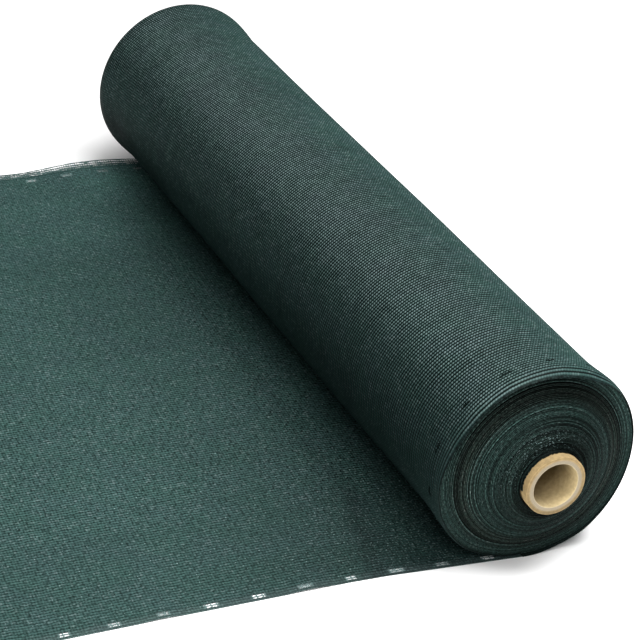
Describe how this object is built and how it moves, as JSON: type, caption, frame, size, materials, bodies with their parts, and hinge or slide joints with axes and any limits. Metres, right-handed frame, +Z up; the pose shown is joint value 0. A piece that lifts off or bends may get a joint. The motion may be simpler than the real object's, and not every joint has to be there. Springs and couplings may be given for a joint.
{
  "type": "roll of privacy screen netting with a loose end",
  "caption": "Knitted privacy screen netting wound on a cardboard core, with its loose end unrolled flat and buttonholes along both selvedges.",
  "frame": {"origin": "middle of the footprint, on the ground that the roll and its loose end lie on", "axes": "+Y along the roll's axis from its near end to its far end, +X from the unrolled length to the roll, +Z up"},
  "size_m": [0.8138, 1.0474, 0.2253],
  "materials": {
    "netting": "knitted dark green polyethylene yarn and tape, slightly glossy",
    "core_cardboard": "plain spiral wound kraft board"
  },
  "bodies": {
    "root": {"wound_roll": "netting", "loose_end": "netting", "core_tube": "core_cardboard"}
  },
  "joints": []
}
